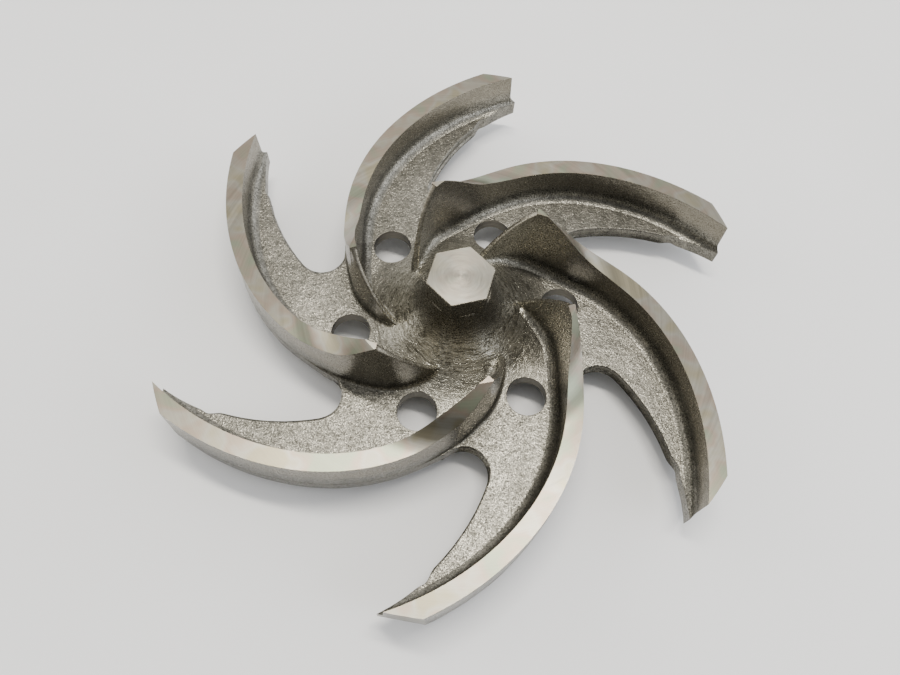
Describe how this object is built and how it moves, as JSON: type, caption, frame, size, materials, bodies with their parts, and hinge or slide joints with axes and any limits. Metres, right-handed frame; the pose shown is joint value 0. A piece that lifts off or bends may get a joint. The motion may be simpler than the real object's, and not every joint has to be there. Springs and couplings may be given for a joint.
{
  "type": "open pump impeller",
  "caption": "Open centrifugal pump impeller with backward-curved vanes on a scalloped back shroud, balance holes and a hexagonal hub nose.",
  "frame": {"origin": "centre of the back boss face, on the shaft axis", "axes": "+Z along the shaft axis from the back boss towards the suction side; +X to the right of the picture; the picture looks from above the -Y side"},
  "size_m": [0.2356, 0.254, 0.0533],
  "materials": {
    "cast_stainless": "shot-blasted stainless casting with turned vane tops and nose"
  },
  "bodies": {
    "root": {"impeller_casting": "cast_stainless"}
  },
  "joints": []
}
